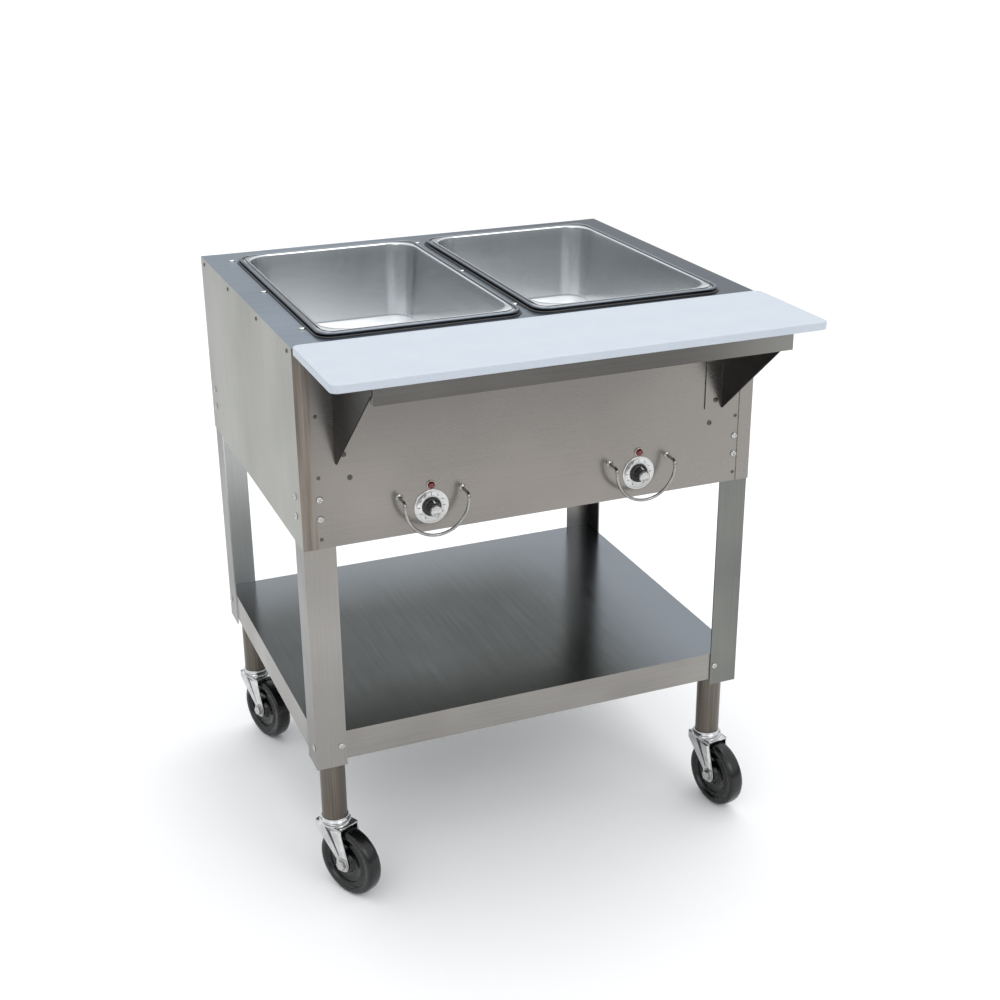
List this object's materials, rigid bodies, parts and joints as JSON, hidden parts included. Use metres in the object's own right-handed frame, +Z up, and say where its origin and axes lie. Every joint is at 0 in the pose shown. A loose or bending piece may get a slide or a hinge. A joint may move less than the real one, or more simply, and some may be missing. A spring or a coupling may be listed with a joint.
{
  "type": "steam table unit",
  "caption": "Steam table with sunken wells under lift-out pans, a front cutting board on gusset brackets, knobs with wire guards, angle legs, an undershelf and swivel casters.",
  "frame": {"origin": "on the floor under the middle of the bounding box", "axes": "+X to the right as the user at the knobs sees it, +Y away from that user, +Z up"},
  "size_m": [0.778, 0.8208, 0.9625],
  "materials": {
    "body_stainless": "satin brushed",
    "deck_stainless": "satin brushed",
    "leg_stainless": "satin brushed",
    "post_steel": "dull drawn tube",
    "zinc_plate": "bright zinc plate",
    "wheel_rubber": "moulded",
    "shelf_stainless": "satin brushed",
    "rail_stainless": "satin brushed",
    "bracket_steel": "dark satin",
    "liner_steel": "dull sheet",
    "element_sheath": "heat-dulled sheath",
    "switch_phenolic": "moulded",
    "dial_aluminium": "printed dial plate",
    "lamp_red": "moulded lens",
    "guard_wire": "bright wire",
    "knob_black": "moulded",
    "pan_stainless": "bright deep-drawn",
    "insulation_wool": "mineral wool",
    "terminal_steel": "galvanised box",
    "board_poly": "fine textured polyethylene",
    "fastener_steel": "bright steel"
  },
  "bodies": {
    "frame": {"deck_top": "deck_stainless", "front_panel": "body_stainless", "back_panel": "body_stainless", "side_panel_left": "body_stainless", "side_panel_right": "body_stainless", "bottom_pan": "body_stainless", "leg_front_left": "leg_stainless", "leg_front_right": "leg_stainless", "leg_rear_left": "leg_stainless", "leg_rear_right": "leg_stainless", "undershelf": "shelf_stainless", "board_support_rail": "rail_stainless", "board_bracket_left": "bracket_steel", "board_bracket_right": "bracket_steel", "well_liner_left": "liner_steel", "well_liner_right": "liner_steel", "well_insulation": "insulation_wool", "heating_element_left": "element_sheath", "heating_element_right": "element_sheath", "control_switch_left": "switch_phenolic", "control_switch_right": "switch_phenolic", "knob_bezel_left": "dial_aluminium", "knob_bezel_right": "dial_aluminium", "indicator_lamp_left": "lamp_red", "indicator_lamp_right": "lamp_red", "knob_guard_left": "guard_wire", "knob_guard_right": "guard_wire", "terminal_box": "terminal_steel", "panel_bolts": "fastener_steel", "body_rivets": "fastener_steel", "deck_screws": "fastener_steel", "shelf_bolts": "fastener_steel", "bracket_screws": "fastener_steel", "caster_post_front_left": "post_steel", "caster_post_front_right": "post_steel", "caster_post_rear_left": "post_steel", "caster_post_rear_right": "post_steel", "caster_stem_front_left": "zinc_plate", "caster_stem_front_right": "zinc_plate", "caster_stem_rear_left": "zinc_plate", "caster_stem_rear_right": "zinc_plate"},
    "pan_left": {"pan_left": "pan_stainless"},
    "pan_right": {"pan_right": "pan_stainless"},
    "board": {"cutting_board": "board_poly"},
    "knob_left": {"knob_left": "knob_black", "knob_shaft_left": "zinc_plate"},
    "knob_right": {"knob_right": "knob_black", "knob_shaft_right": "zinc_plate"},
    "swivel_front_left": {"caster_fork_front_left": "zinc_plate", "caster_axle_front_left": "zinc_plate"},
    "wheel_front_left": {"caster_wheel_front_left": "wheel_rubber"},
    "swivel_front_right": {"caster_fork_front_right": "zinc_plate", "caster_axle_front_right": "zinc_plate"},
    "wheel_front_right": {"caster_wheel_front_right": "wheel_rubber"},
    "swivel_rear_left": {"caster_fork_rear_left": "zinc_plate", "caster_axle_rear_left": "zinc_plate"},
    "wheel_rear_left": {"caster_wheel_rear_left": "wheel_rubber"},
    "swivel_rear_right": {"caster_fork_rear_right": "zinc_plate", "caster_axle_rear_right": "zinc_plate"},
    "wheel_rear_right": {"caster_wheel_rear_right": "wheel_rubber"}
  },
  "joints": [
    {"name": "pan_left_lift", "type": "slide", "parent": "frame", "child": "pan_left", "axis": [0, 0, 1], "range_m": [0, 0.2]},
    {"name": "pan_right_lift", "type": "slide", "parent": "frame", "child": "pan_right", "axis": [0, 0, 1], "range_m": [0, 0.2]},
    {"name": "board_lift", "type": "slide", "parent": "frame", "child": "board", "axis": [0, 0, 1], "range_m": [0, 0.08]},
    {"name": "knob_left_turn", "type": "hinge", "parent": "frame", "child": "knob_left", "pos_m": [-0.179, -0.2162, 0.675], "axis": [0, 1, 0], "range_deg": [0, 270]},
    {"name": "knob_right_turn", "type": "hinge", "parent": "frame", "child": "knob_right", "pos_m": [0.179, -0.2162, 0.675], "axis": [0, 1, 0], "range_deg": [0, 270]},
    {"name": "caster_front_left_swivel", "type": "hinge", "parent": "frame", "child": "swivel_front_left", "pos_m": [-0.352, -0.173, 0.13], "axis": [0, 0, 1], "continuous": true},
    {"name": "caster_front_left_roll", "type": "hinge", "parent": "swivel_front_left", "child": "wheel_front_left", "pos_m": [-0.33651, -0.20214, 0.06], "axis": [0.8829, 0.4695, 0], "continuous": true},
    {"name": "caster_front_right_swivel", "type": "hinge", "parent": "frame", "child": "swivel_front_right", "pos_m": [0.352, -0.173, 0.13], "axis": [0, 0, 1], "continuous": true},
    {"name": "caster_front_right_roll", "type": "hinge", "parent": "swivel_front_right", "child": "wheel_front_right", "pos_m": [0.35773, -0.2055, 0.06], "axis": [0.9848, 0.1736, 0], "continuous": true},
    {"name": "caster_rear_left_swivel", "type": "hinge", "parent": "frame", "child": "swivel_rear_left", "pos_m": [-0.352, 0.3742, 0.13], "axis": [0, 0, 1], "continuous": true},
    {"name": "caster_rear_left_roll", "type": "hinge", "parent": "swivel_rear_left", "child": "wheel_rear_left", "pos_m": [-0.34071, 0.34319, 0.06], "axis": [0.9397, 0.342, 0], "continuous": true},
    {"name": "caster_rear_right_swivel", "type": "hinge", "parent": "frame", "child": "swivel_rear_right", "pos_m": [0.352, 0.3742, 0.13], "axis": [0, 0, 1], "continuous": true},
    {"name": "caster_rear_right_roll", "type": "hinge", "parent": "swivel_rear_right", "child": "wheel_rear_right", "pos_m": [0.35659, 0.34152, 0.06], "axis": [0.9903, 0.1392, 0], "continuous": true}
  ]
}
